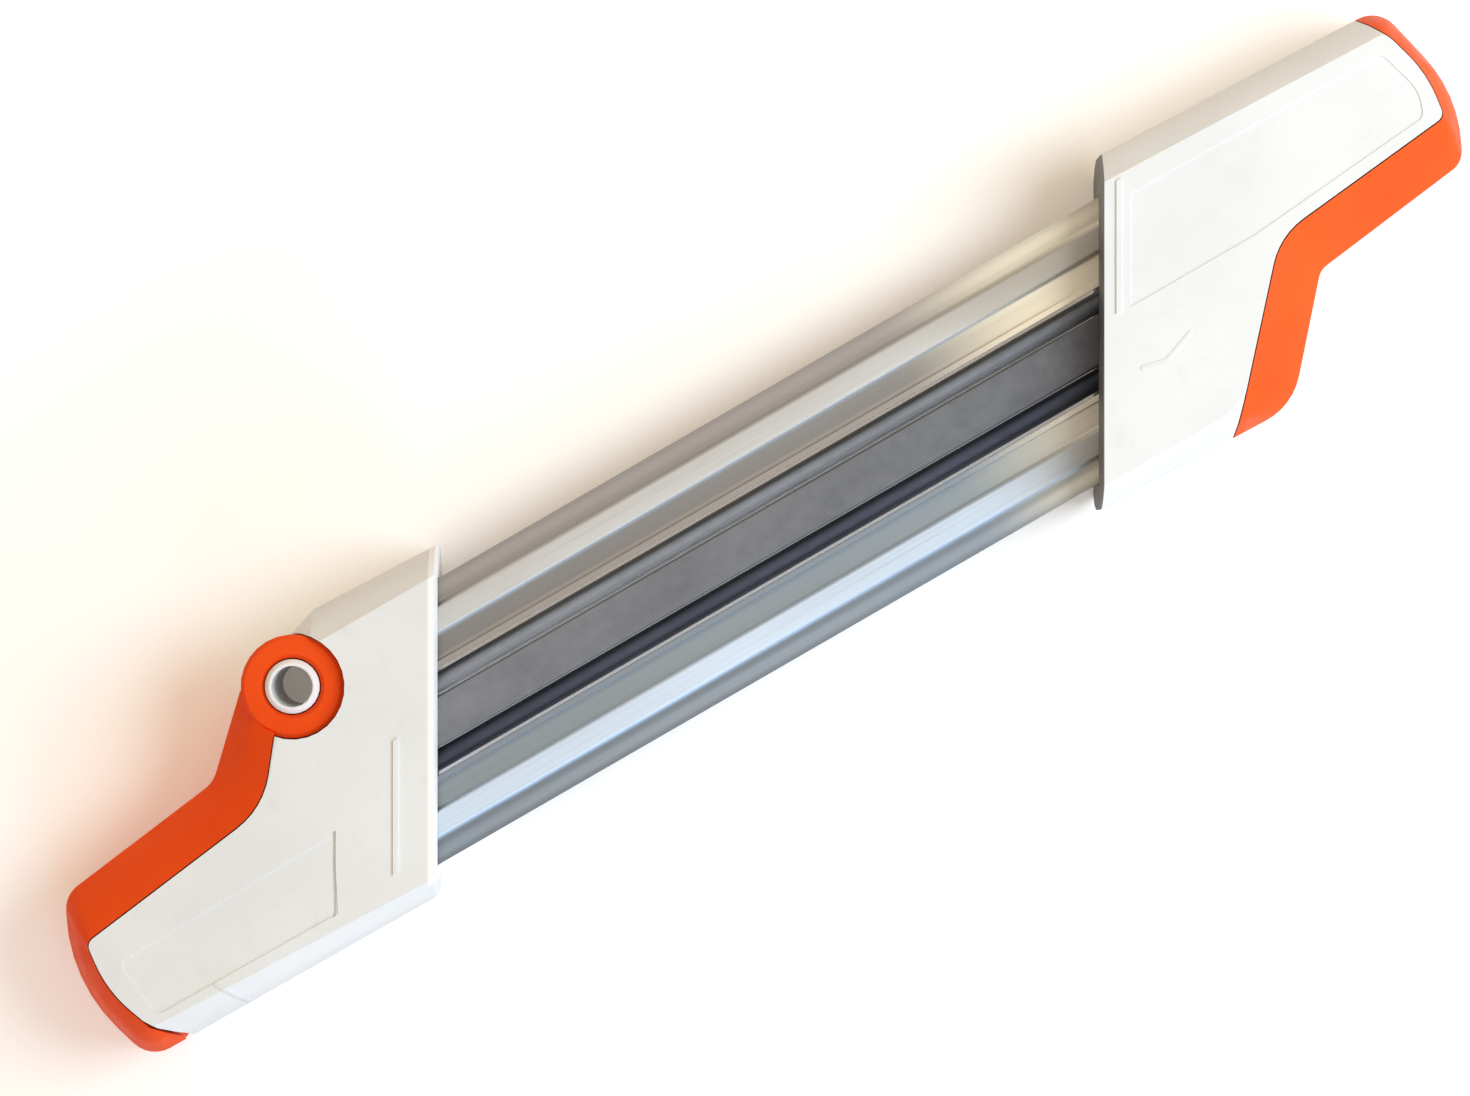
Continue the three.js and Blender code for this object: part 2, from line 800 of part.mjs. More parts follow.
function releaseShells() {
  const whiteCorners = releaseWhiteCorners();
  const places = screwPlaces([]);
  const ringSeat = ringBottom - gap;
  const shoulder = turned([
    [0, 0],
    [ringRadius - bandLift, 0],
    [ringRadius - gap, bandLift],
    [ringRadius - gap, ringSeat],
    [0, ringSeat],
  ], pivot);
  const pillar = disc(pivot, neckRadius + wall + wall, 0, handleHeight);
  const blank = handleBody(releaseOuterShares, releaseCrownShares)
    .intersect(rearHalf(0, 0, handleHeight))
    .intersect(prism(rounded(whiteCorners), 0, handleHeight))
    .intersect(disc(pivot, hookRadius - gap, 0, handleHeight))
    .add(shoulder);
  const cavity = gripCavity(releaseOuterShares, releaseCrownShares, whiteCorners);
  const body = cut(blank, [
    cut(cavity, [...screwBosses(places), pillar]),
    seatChamber(),
    ...seatHollows(),
    fileWindow(),
    ...railTunnels(gap, railReach + gap),
    ...screwHoles(places),
    tongueTunnel(),
    disc(pivot, ringRadius + gap, ringSeat, handleHeight + overrun),
    disc(pivot, neckRadius + gap, camTop, handleHeight + overrun),
    disc(pivot, camRadius + gap, camBottom - gap, camTop + gap),
    disc(pivot, sleeveRadius + gap, -overrun, camTop),
    disc(pivot, sleeveFlangeRadius + gap, -overrun, sleeveFoot + sleeveFlange + gap),
  ]);
  const groove = acrossStrip(
    labelGrooveShares, labelGrooveDepth, grooveWidth,
    handleHeight - grooveDepth, handleHeight + overrun,
  );
  const strip = acrossStrip(
    guideStripShares, guideStripDepth, stripWidth, handleHeight, handleHeight + stripHeight,
  );
  return splitShells(body, [topRecess(labelPanelShares), groove], [strip]);
}

// The space for the locked rail's tongue beside the cam, in the handle frame
function tongueTunnel() {
  return block(
    [behindFront(-railInnerEdge, 0), -railInnerEdge - tongueWidth - gap, railHeight - gap],
    [pivot.x + tongueReach + gap, -railInnerEdge + gap, beadTop + gap],
  );
}

function pivotSleeve() {
  const flangeTop = sleeveFoot + sleeveFlange;
  return turned([
    [sleeveBore, sleeveFoot],
    [sleeveFlangeRadius, sleeveFoot],
    [sleeveFlangeRadius, flangeTop],
    [sleeveRadius, flangeTop],
    [sleeveRadius, sleeveTop - ringEdge],
    [sleeveRadius - ringEdge, sleeveTop],
    [sleeveBore, sleeveTop],
    [sleeveBore, sleeveFoot],
  ], pivot);
}

function lockLever() {
  const whiteCorners = releaseWhiteCorners();
  const band = handleBody(releaseOuterShares, releaseCrownShares)
    .intersect(rearHalf(0, bandLift, handleHeight))
    .subtract(prism(rounded(inset(whiteCorners, -gap)), 0, handleHeight));
  const arm = cut(band, [
    ...leverChannels(whiteCorners),
    disc(pivot, ringRadius + gap, 0, ringBottom),
    disc(pivot, ringRadius - ringEdge, 0, handleHeight + overrun),
    disc(pivot, ringRadius, ringTop - ringEdge / 2, handleHeight + overrun),
    disc(pivot, hookRadius, 0, handleHeight).intersect(hookSide()),
  ]);
  const ring = turned([
    [sleeveRadius + gap, ringBottom],
    [ringRadius, ringBottom],
    [ringRadius, ringTop - ringEdge],
    [ringRadius - ringEdge, ringTop],
    [sleeveRadius + gap + ringEdge, ringTop],
    [sleeveRadius + gap, ringTop - ringEdge],
    [sleeveRadius + gap, ringBottom],
  ], pivot);
  const hub = turned([
    [sleeveRadius + gap, camBottom],
    [camRadius, camBottom],
    [camRadius, camTop],
    [neckRadius, camTop],
    [neckRadius, ringBottom + ringEdge],
    [sleeveRadius + gap, ringBottom + ringEdge],
    [sleeveRadius + gap, camBottom],
  ], pivot);
  const flat = camFlatCut();
  return joined([arm, ring, hub.subtract(flat)]);
}

// Where the lever's hook ends, only what lies outside its swing circle is kept
function hookSide() {
  const [start] = cornersFrom([hookSideShares]);
  return block([start.x, start.y, 0], [farDepth, farAcross, handleHeight]);
}

// The arm is a moulded channel, open towards the grip, with ribs between its bays
function leverChannels(whiteCorners) {
  const [start, end] = cornersFrom(leverChannelShares).map(({ x }) => x);
  const reach = prism(rounded(inset(whiteCorners, -gap - leverChannel)), 0, handleHeight);
  const pitch = (end - start) / leverBays;
  return Array.from({ length: leverBays }, (_, index) => block(
    [start + index * pitch, -farAcross, leverChannelBottom],
    [start + (index + 1) * pitch - ribThickness, farAcross, leverChannelTop],
  ).intersect(reach));
}

// The flat of the cam faces the tongue once the lever is fully open
function camFlatCut() {
  const size = camRadius * 2;
  const geometry = new THREE.BoxGeometry(size, size * 2, camTop - camBottom + gap);
  const reach = camFlat + size / 2;
  const middle = (camTop + camBottom - gap) / 2;
  const facing = (90 + leverSwing) * degree;
  return toSolid(geometry.translate(reach, 0, middle).rotateZ(facing).translate(pivot.x, pivot.y, 0));
}

// The scene graph
function meshOf(name, solid, look) {
  const mesh = new THREE.Mesh(toGeometry(solid), new THREE.MeshStandardMaterial(look));
  mesh.name = name;
  return mesh;
}

function seatMeshes(prefix, pinned) {
  return [
    meshOf(`${prefix}_file_seat`, fileSeat(pinned), darkPlastic),
    meshOf(`${prefix}_buffer_flat`, buffer(0), rubber),
    meshOf(`${prefix}_buffer_round_1`, buffer(roundFileOffset), rubber),
    meshOf(`${prefix}_buffer_round_2`, buffer(-roundFileOffset), rubber),
  ];
}

function screwMeshes(prefix, places) {
  return places.map((place, index) => meshOf(`${prefix}_screw_${index + 1}`, screw(place), screwSteel));
}

function fixedHandle() {
  const shells = fixedShells();
  const pins = [1, -1].flatMap((side) => pinPlaces(side))
    .map((place, index) => meshOf(
      `rail_pin_${index + 1}`, smallDisc(place, pinRadius, pinBottom, pinTop), screwSteel,
    ));
  const handle = new THREE.Group();
  handle.add(
    meshOf('fixed_handle_top', shells.top, whitePlastic),
    meshOf('fixed_handle_bottom', shells.bottom, whitePlastic),
    meshOf('fixed_grip_trim', gripTrim(), orangePlastic),
    ...seatMeshes('fixed', true),
    ...screwMeshes('fixed', screwPlaces([fixedScrewShares])),
    ...pins,
  );
  return handle;
}

function releaseHandle() {
  const shells = releaseShells();
  const handle = new THREE.Group();
  handle.add(
    meshOf('release_handle_top', shells.top, whitePlastic),
    meshOf('release_handle_bottom', shells.bottom, whitePlastic),
    meshOf('lock_lever', lockLever(), orangePlastic),
    meshOf('pivot_sleeve', pivotSleeve(), whitePlastic),
    ...seatMeshes('release', false),
    ...screwMeshes('release', screwPlaces([])),
  );
  handle.rotation.z = Math.PI;
  return handle;
}

function filesAndRails() {
  const set = new THREE.Group();
  set.add(
    meshOf('guide_rail_locked', guideRail(1, true), polishedSteel),
    meshOf('guide_rail_plain', guideRail(-1, false), polishedSteel),
    meshOf('round_file_1', roundFile(roundFileOffset), fileSteel),
    meshOf('round_file_2', roundFile(-roundFileOffset), fileSteel),
    meshOf('flat_file', flatFile(), fileSteel),
  );
  return set;
}

const group = new THREE.Group();
group.add(fixedHandle(), releaseHandle(), filesAndRails());

// The origin lies on the floor under the middle of the whole guide
const middle = new THREE.Box3().setFromObject(group).getCenter(new THREE.Vector3());
group.position.set(-middle.x, -middle.y, 0);

export default group;
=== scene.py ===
# Looks for the chainsaw file guide: moulded white handles with orange grips, rolled guide
# rails and cut files, seen straight from above on a pale table. Lengths are in metres.
import math

import bpy
from mathutils import Matrix, Vector

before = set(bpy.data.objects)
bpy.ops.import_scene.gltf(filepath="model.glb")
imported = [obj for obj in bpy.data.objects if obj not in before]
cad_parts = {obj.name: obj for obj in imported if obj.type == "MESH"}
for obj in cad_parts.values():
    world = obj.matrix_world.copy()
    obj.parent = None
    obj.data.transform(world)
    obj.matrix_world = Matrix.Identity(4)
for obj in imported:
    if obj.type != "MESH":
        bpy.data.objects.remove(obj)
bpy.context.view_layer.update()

MM = 0.001
DEGREE = math.pi / 180

# Camera: straight above, turned so that the files run up to the right at the filing angle
FILING_ANGLE = 30 * DEGREE
VIEW_CENTRE = (-7.6 * MM, -0.3 * MM)
VIEW_WIDTH = 342 * MM
VIEW_PLANE = 34 * MM
VIEW_DISTANCE = 1200 * MM
SENSOR = 36
CLIP_END = 50

# Light: a large soft lamp at the right of the picture, a weaker cool one below it, a warm fill
KEY_LAMP = {"towards": (0.72, -0.3, 0.9), "distance": 0.95, "size": 0.64, "power": 7.05}
KEY_COLOUR = (0.69, 0.82, 0.94)
SIDE_LAMP = {"towards": (-0.1, -1, 0.5), "distance": 1.4, "size": 0.9, "power": 6.8}
SIDE_COLOUR = (0.29, 0.57, 1)
FILL_COLOUR = (1, 0.8, 0.57)
FILL_STRENGTH = 0.66
BACKGROUND_STRENGTH = 1

# Table: a hair below the part, so that their faces don't coincide
FLOOR_SIZE = 8
FLOOR_COLOUR = (0.95, 0.95, 0.94)
FLOOR_ROUGHNESS = 0.9
FLOOR_DROP = 0.1 * MM

# The table glows a little: a warm painted glow by the part, which lightens and warms its shadows,
# and white beyond an oval round it
OVAL = (240 * MM, 110 * MM)
OVAL_FADE = 2.2
NEAR_PAINTED_GLOW = (0.188, 0.168, 0.148, 1)
FAR_LIFT = (0.38, 0.48, 0.6, 1)

# Places of the files, as in the solids
FILE_MIDDLE = -0.76 * MM
ROUND_FILE_OFFSET = 7.9 * MM
ROUND_FILE_HEIGHT = 14.06 * MM

# Lip, bead and outer flange of a rail, as distances from the middle of the files
LIP_OUTER = 13 * MM
LIP_BLEND = 0.8 * MM
BEAD_INNER = 17.3 * MM
BEAD_OUTER = 24.5 * MM
BEAD_WALL = 1.4 * MM
BEAD_FOOT_SHARE = 0.5
FLANGE_MIDDLE = 27 * MM
FLANGE_HALF = 2 * MM
FLANGE_CORE_SHARE = 0.2

# Painted warm reflection on the rails' flanges and painted shade on their beads, towards the fixed
# handle
HANDLE_REFLECTION_START = 42 * MM
HANDLE_REFLECTION_END = 84 * MM

# Front walls of the handles, square to the view: where they meet the middle of the part
FIXED_WALL = 91.6 * MM
RELEASE_WALL = -88.4 * MM
FRONT_SLOPE = math.tan(FILING_ANGLE)

# Painted shade on the fixed handle's front wall, darkest above the files
FRONT_SHADE_SKIN = 0.1 * MM
FRONT_SHADE_DEPTH = 0.35 * MM
FRONT_SHADE_MIDDLE = 7 * MM
FRONT_SHADE_CORE = 5 * MM
FRONT_SHADE_REACH = 20 * MM

# Painted highlight on the front edge of the release handle, down to the foot of its top face
HIGHLIGHT_DEPTH = 1.9 * MM
HIGHLIGHT_CORE_SHARE = 0.7
HIGHLIGHT_FOOT = -33.5 * MM

# Faint moulded strokes on the handles' top faces, as corner points
FIXED_TICK = [(95.5 * MM, -11.5 * MM), (101.3 * MM, -12.7 * MM), (109.1 * MM, -9.9 * MM)]
RELEASE_SLANT = [(-163 * MM, -27.8 * MM), (-159 * MM, -35.5 * MM)]
STROKE_WIDTH = 0.8 * MM
STROKE_CORE_SHARE = 0.3
STROKE_FLOOR = 20 * MM
STROKE_TINT_SHARE = 0.2

# File teeth
FLAT_PITCH = 0.7 * MM
FLAT_TOOTH_ANGLE = 25 * DEGREE
ROUND_PITCH = 0.6 * MM
ROUND_STARTS = 12

# The flat and the lit round file are lighter towards the release handle, darker the other way
FADE_REACH = 90 * MM
FADE_SHARE = 0.2

# Painted shade: the files darken towards the front wall of the fixed handle
WALL_SHADE = 9 * MM
WALL_SHADE_SHARE = 0.8

# Flanks of the lit round file: a painted highlight beside the flat file, painted shade beside the
# rail
FLANK_START = 0.8 * MM
FLANK_END = 1.9 * MM

# Surface marks: how strongly each shows and how deep it is
SINK_MARK = {"strength": 0.06, "distance": 1.2 * MM}
SCRATCH_MARK = {"strength": 0.06, "distance": 0.05 * MM}
STROKE_MARK = {"strength": 1, "distance": 0.15 * MM}
ROLLED_MARK = {"strength": 0.05, "distance": 0.03 * MM}
TOOTH_MARK = {"strength": 0.35, "distance": 0.08 * MM}
RUBBER_MARK = {"strength": 0.3, "distance": 0.1 * MM}
ZINC_MARK = {"strength": 0.08, "distance": 0.1 * MM}
COARSE_GRAIN_DEPTH = 0.1 * MM
FINE_GRAIN_DEPTH = 0.05 * MM

# Soiled plastic keeps this share of its shade; darkened steel, in painted shade and in the gullets
# between the teeth, keeps this one
SOILED_SHARE = 0.86
DARKENED_SHARE = 0.45

# How far grime covers the plastic, and how far the gullets between the teeth are darkened
GRIME_SHARE = 0.4
GULLET_DARKENING_SHARE = 0.25

# Roughness of plastic varies from this much below its value to this much above it
ROUGHNESS_DROP = 0.06
ROUGHNESS_RISE = 0.08

# The part of a noise's range that carries nearly all of its values
NOISE_RANGE = (0.3, 0.7)

# Softened edges: widths of the bevels, and what counts as an edge
EDGE_LIMIT = 32 * DEGREE
FLAT_LIMIT = 0.5 * DEGREE
EDGE_STEPS = 3
WELD_REACH = 0.002 * MM
MOULDED_EDGE = 0.45 * MM
SLEEVE_EDGE = 0.25 * MM
RAIL_EDGE = 0.18 * MM
FILE_EDGE = 0.1 * MM
EDGES = {
    "fixed_handle_top": MOULDED_EDGE,
    "fixed_handle_bottom": MOULDED_EDGE,
    "release_handle_top": MOULDED_EDGE,
    "release_handle_bottom": MOULDED_EDGE,
    "fixed_grip_trim": MOULDED_EDGE,
    "lock_lever": MOULDED_EDGE,
    "pivot_sleeve": SLEEVE_EDGE,
    "guide_rail_locked": RAIL_EDGE,
    "guide_rail_plain": RAIL_EDGE,
    "flat_file": FILE_EDGE,
}


def srgb(red, green, blue):
    """Linear colour of a red, green and blue from 0 to 255."""
    parts = [value / 255 for value in (red, green, blue)]
    linear = [v / 12.92 if v <= 0.04045 else ((v + 0.055) / 1.055) ** 2.4 for v in parts]
    return (*linear, 1)


def scaled(colour, share):
    """A linear colour, darker by a share."""
    return (*(part * share for part in colour[:3]), 1)


FLANK_HIGHLIGHT = srgb(216, 218, 220)
# Painted reflection on the rails' flanges and painted shade on their beads by the fixed handle
REFLECTED_FLANGE = srgb(216, 200, 172)
SHADED_CREST = srgb(174, 163, 146)
# Colours of the painted shade on the fixed handle's front wall
LIGHT_FRONT_SHADE = srgb(100, 98, 98)
HEAVY_FRONT_SHADE = srgb(60, 59, 60)
PATCHY_FRONT_SHADE = srgb(112, 109, 106)
# Colour of the painted highlight on the release handle's front edge
HIGHLIGHT_WHITE = srgb(254, 254, 254)
HANDLE_WHITE = {
    "colour": srgb(234, 235, 233),
    "shade": srgb(228, 229, 227),
    "roughness": 0.48,
}
GRIP_FINISH = {"roughness": 0.45, "gleam": 0.12}


class Shader:
    """A material whose nodes are added one after another."""

    def __init__(self, name):
        self.material = bpy.data.materials.new(name)
        self.material.use_nodes = True
        self.tree = self.material.node_tree
        self.surface = self.tree.nodes["Principled BSDF"]
        self.coordinates = self.tree.nodes.new("ShaderNodeTexCoord").outputs["Object"]

    def put(self, socket, value):
        """Links a socket to another, or sets it to a constant."""
        if isinstance(value, bpy.types.NodeSocket):
            self.tree.links.new(value, socket)
        else:
            socket.default_value = value

    def node(self, kind, inputs, **settings):
        """A new node with its settings and inputs."""
        made = self.tree.nodes.new(kind)
        for name, value in settings.items():
            setattr(made, name, value)
        for name, value in inputs.items():
            self.put(made.inputs[name], value)
        return made

    def stretched(self, scale):
        """Object coordinates multiplied along each axis."""
        inputs = {"Vector": self.coordinates, "Scale": scale}
        return self.node("ShaderNodeMapping", inputs).outputs[0]

    def noise(self, scale, detail=2, stretch=(1, 1, 1), roughness=0.5):
        inputs = {
            "Vector": self.stretched(stretch),
            "Scale": scale,
            "Detail": detail,
            "Roughness": roughness,
        }
        return self.node("ShaderNodeTexNoise", inputs).outputs["Fac"]

    def spread(self, value, low, high, out_low=0, out_high=1, kind="LINEAR"):
        """A value carried from one range to another and held at the ends."""
        inputs = {
            "Value": value,
            "From Min": low,
            "From Max": high,
            "To Min": out_low,
            "To Max": out_high,
        }
        return self.node("ShaderNodeMapRange", inputs, interpolation_type=kind).outputs["Result"]

    def smooth(self, value, low, high, out_low=0, out_high=1):
        """The same as spread, with a gentle start and end."""
        return self.spread(value, low, high, out_low, out_high, "SMOOTHSTEP")

    def wander(self, scale, detail, low, high):
        """A value that wanders between two limits."""
        return self.spread(self.noise(scale, detail), *NOISE_RANGE, low, high)

    def mix(self, share, first, second):
        made = self.node("ShaderNodeMix", {}, data_type="RGBA")
        self.put(made.inputs["Factor"], share)
        colours = [socket for socket in made.inputs if socket.type == "RGBA"]
        self.put(colours[0], first)
        self.put(colours[1], second)
        return next(socket for socket in made.outputs if socket.type == "RGBA")

    def maths(self, operation, first, second=0.0):
        inputs = {0: first, 1: second}
        return self.node("ShaderNodeMath", inputs, operation=operation).outputs[0]

    def vector(self, operation, first, second, output="Vector"):
        inputs = {0: first, 1: second}
        return self.node("ShaderNodeVectorMath", inputs, operation=operation).outputs[output]

    def axis(self, name):
        made = self.node("ShaderNodeSeparateXYZ", {"Vector": self.coordinates})
        return made.outputs[name]

    def away(self, value, middle):
        """Distance of a value from a middle."""
        return self.maths("ABSOLUTE", self.maths("SUBTRACT", value, middle))

    def bump(self, height, strength, distance, under=None):
        inputs = {"Height": height, "Strength": strength, "Distance": distance}
        if under is not None:
            inputs["Normal"] = under
        return self.node("ShaderNodeBump", inputs).outputs["Normal"]

    def finish(self, **sockets):
        """Sets the surface's sockets and returns the material."""
        for name, value in sockets.items():
            self.put(self.surface.inputs[name.replace("_", " ")], value)
        return self.material


def strokes(shader, *chains):
    """Height from 0 to 1 of thin raised lines that run from corner to corner of each chain."""
    flat = shader.stretched((1, 1, 0))
    nearest = 1.0
    for chain in chains:
        for start, end in zip(chain, chain[1:]):
            run = (end[0] - start[0], end[1] - start[1], 0)
            from_start = shader.vector("SUBTRACT", flat, (*start, 0))
            share = shader.vector("DOT_PRODUCT", from_start, run, "Value")
            share = shader.spread(share, 0, run[0] ** 2 + run[1] ** 2)
            along = shader.node("ShaderNodeVectorMath", {0: run, "Scale": share}, operation="SCALE")
            off = shader.vector("DISTANCE", from_start, along.outputs["Vector"], "Value")
            nearest = shader.maths("MINIMUM", nearest, off)
    height = shader.smooth(nearest, STROKE_WIDTH * STROKE_CORE_SHARE, STROKE_WIDTH, 1, 0)
    return shader.maths("MULTIPLY", height, shader.smooth(shader.axis("Z"), 0, STROKE_FLOOR))


def behind_wall(shader, wall):
    """Distance along the files from a slanted front wall."""
    lean = shader.maths("MULTIPLY", shader.axis("Y"), FRONT_SLOPE)
    return shader.away(shader.maths("SUBTRACT", shader.axis("X"), lean), wall)


def front_wall_painted_shade(shader, base):
    """Painted shade that darkens the front wall of the fixed handle, patchy and darkest above the
    files.
    """
    depth = behind_wall(shader, FIXED_WALL)
    off = shader.away(shader.axis("Y"), FRONT_SHADE_MIDDLE)
    heavy = shader.smooth(off, FRONT_SHADE_CORE, FRONT_SHADE_REACH, 1, 0)
    cloud = shader.noise(scale=130, detail=4)
    patchy = shader.spread(cloud, low=0.35, high=0.7, out_high=0.5)
    wall_shade_colour = shader.mix(heavy, LIGHT_FRONT_SHADE, HEAVY_FRONT_SHADE)
    wall_shade_colour = shader.mix(patchy, wall_shade_colour, PATCHY_FRONT_SHADE)
    return shader.mix(shader.smooth(depth, FRONT_SHADE_SKIN, FRONT_SHADE_DEPTH, 1, 0), base, wall_shade_colour)


def front_wall_painted_highlight(shader, base):
    """The front edge of the release handle, lightened with a painted highlight."""
    depth = behind_wall(shader, RELEASE_WALL)
    painted_highlight = shader.smooth(depth, HIGHLIGHT_CORE_SHARE * HIGHLIGHT_DEPTH, HIGHLIGHT_DEPTH, 1, 0)
    above_foot = shader.smooth(shader.axis("Y"), HIGHLIGHT_FOOT, HIGHLIGHT_FOOT + HIGHLIGHT_DEPTH)
    return shader.mix(shader.maths("MULTIPLY", painted_highlight, above_foot), base, HIGHLIGHT_WHITE)


def moulded_plastic(name, colour, shade, roughness, gleam=0.3, grain=0.35, tint=None, marks=()):
    """Moulded plastic: a spark-eroded grain, soft sink marks, scuffs and a little grime."""
    shader = Shader(name)
    cloud = shader.noise(scale=38, detail=3)
    base = shader.mix(shader.spread(cloud, low=0.32, high=0.68), colour, shade)
    grime = shader.noise(scale=150, detail=5, roughness=0.7)
    grime = shader.maths("MULTIPLY", shader.spread(grime, low=0.56, high=0.8), GRIME_SHARE)
    soiled = scaled(shade, SOILED_SHARE)
    tinted = shader.mix(grime, base, soiled)
    sinks = shader.noise(scale=60, detail=1)
    coarse = shader.noise(scale=1300)
    fine = shader.noise(scale=3400)
    scratch = shader.noise(scale=420, detail=3, stretch=(0.12, 1, 1))
    scratch = shader.spread(scratch, low=0.62, high=0.72)
    normal = shader.bump(sinks, **SINK_MARK)
    normal = shader.bump(coarse, grain / 2, COARSE_GRAIN_DEPTH, normal)
    normal = shader.bump(fine, grain, FINE_GRAIN_DEPTH, normal)
    normal = shader.bump(scratch, **SCRATCH_MARK, under=normal)
    gloss = shader.wander(240, 4, roughness - ROUGHNESS_DROP, roughness + ROUGHNESS_RISE)
    if tint:
        tinted = tint(shader, tinted)
    if marks:
        relief = strokes(shader, *marks)
        normal = shader.bump(relief, **STROKE_MARK, under=normal)
        tinted = shader.mix(shader.maths("MULTIPLY", relief, STROKE_TINT_SHARE), tinted, soiled)
    return shader.finish(
        Base_Color=tinted, Roughness=gloss, Specular_IOR_Level=gleam, Normal=normal,
    )


def rail_steel(name, flange, inner, crest, edge, flange_shading):
    """Bright rolled strip in painted reflections: a pale bead, duller flanges with a lighter middle
    and painted shade at their edges, and a warm reflection and shade by the fixed handle.
    """
    shader = Shader(name)
    across = shader.away(shader.axis("Y"), FILE_MIDDLE)
    rise = shader.smooth(across, BEAD_INNER, BEAD_INNER + BEAD_WALL)
    fall = shader.smooth(across, BEAD_OUTER - BEAD_WALL, BEAD_OUTER, 1, 0)
    bead = shader.maths("MULTIPLY", rise, fall)
    past_lip = shader.smooth(across, LIP_OUTER, LIP_OUTER + LIP_BLEND)
    before_bead = shader.smooth(across, BEAD_INNER, BEAD_OUTER, 1, 0)
    inside = shader.maths("MULTIPLY", past_lip, before_bead)
    # Painted reflection of the handle on the flanges and painted shade on the bead, towards the
    # fixed handle
    reflection_and_shade = shader.smooth(shader.axis("X"), HANDLE_REFLECTION_START, HANDLE_REFLECTION_END)
    flanges = shader.mix(reflection_and_shade, shader.mix(inside, flange, inner), REFLECTED_FLANGE)
    base = shader.mix(bead, flanges, shader.mix(reflection_and_shade, crest, SHADED_CREST))
    # Painted light and shade across each outer flange: lighter in its middle, darker at the crease
    # and at the edge
    off = shader.away(across, FLANGE_MIDDLE)
    swing = shader.smooth(off, FLANGE_CORE_SHARE * FLANGE_HALF, FLANGE_HALF, flange_shading, -flange_shading)
    past_bead = shader.smooth(across, BEAD_OUTER - BEAD_FOOT_SHARE * BEAD_WALL, BEAD_OUTER)
    swing = shader.maths("MULTIPLY", swing, past_bead)
    base = shader.vector("MULTIPLY", base, shader.maths("ADD", swing, 1))
    cloud = shader.noise(scale=26, stretch=(0.25, 1, 1))
    cloud = shader.spread(cloud, low=0.35, high=0.7, out_high=0.3)
    base = shader.mix(cloud, base, edge)
    streak = shader.noise(scale=1500, detail=3, stretch=(0.01, 1, 1), roughness=0.65)
    lines = shader.spread(streak, low=0.5, high=0.78, out_high=0.22)
    lined = shader.mix(lines, base, edge)
    gloss = shader.wander(scale=70, detail=3, low=0.5, high=0.58)
    normal = shader.bump(streak, **ROLLED_MARK)
    return shader.finish(Base_Color=lined, Metallic=1.0, Roughness=gloss, Normal=normal)


def file_steel(name, colour, shade, tooth, flank=None, fade=0):
    """Hardened file steel with cut teeth and a little wear along its length, in painted shade by
    the fixed handle's front wall.
    """
    shader = Shader(name)
    cuts = tooth(shader)
    wear = shader.noise(scale=90, detail=4, stretch=(0.3, 1, 1))
    base = shader.mix(shader.spread(wear, low=0.35, high=0.65), colour, shade)
    dark = scaled(shade, DARKENED_SHARE)
    # Painted highlight on the flank by the flat file, painted shade on the flank by the rail
    if flank is not None:
        off = shader.maths("SUBTRACT", shader.axis("Y"), flank)
        bright = shader.smooth(off, -FLANK_END, -FLANK_START, 1, 0)
        base = shader.mix(bright, base, FLANK_HIGHLIGHT)
        base = shader.mix(shader.smooth(off, FLANK_START, FLANK_END), base, dark)
    along = shader.spread(shader.axis("X"), -FADE_REACH, FADE_REACH, 1 + fade, 1 - fade)
    base = shader.vector("MULTIPLY", base, along)
    # Painted shade on the files towards the fixed handle's front wall
    near = shader.smooth(behind_wall(shader, FIXED_WALL), 0, WALL_SHADE, WALL_SHADE_SHARE, 0)
    base = shader.mix(near, base, dark)
    # The gullets between the teeth are darker
    gullets_darkened = shader.mix(shader.spread(cuts, 0, 1, GULLET_DARKENING_SHARE, 0), base, dark)
    gloss = shader.wander(scale=300, detail=3, low=0.58, high=0.7)
    normal = shader.bump(cuts, **TOOTH_MARK)
    return shader.finish(Base_Color=gullets_darkened, Metallic=1.0, Roughness=gloss, Normal=normal)


def slanted_teeth(shader):
    """Single-cut teeth across a flat file, each a ramp from 0 to 1."""
    along = shader.maths("MULTIPLY", shader.axis("X"), math.cos(FLAT_TOOTH_ANGLE) / FLAT_PITCH)
    across = shader.maths("MULTIPLY", shader.axis("Y"), math.sin(FLAT_TOOTH_ANGLE) / FLAT_PITCH)
    return shader.maths("FRACT", shader.maths("ADD", along, across))


def spiral_teeth(side):
    """Teeth that wind round a round file on one side of the flat file."""

    def tooth(shader):
        across = shader.maths("SUBTRACT", shader.axis("Y"), FILE_MIDDLE + side * ROUND_FILE_OFFSET)
        up = shader.maths("SUBTRACT", shader.axis("Z"), ROUND_FILE_HEIGHT)
        angle = shader.maths("ARCTAN2", across, up)
        turn = shader.maths("MULTIPLY", angle, ROUND_STARTS / (2 * math.pi))
        along = shader.maths("DIVIDE", shader.axis("X"), ROUND_PITCH)
        return shader.maths("FRACT", shader.maths("ADD", along, turn))

    return tooth


def rubber_black():
    """Dull black rubber with fine specks."""
    shader = Shader("buffer_rubber")
    speck = shader.noise(scale=900, detail=3)
    specks = shader.spread(speck, *NOISE_RANGE)
    base = shader.mix(specks, srgb(24, 24, 26), srgb(40, 40, 42))
    normal = shader.bump(speck, **RUBBER_MARK)
    return shader.finish(Base_Color=base, Roughness=0.8, Normal=normal)


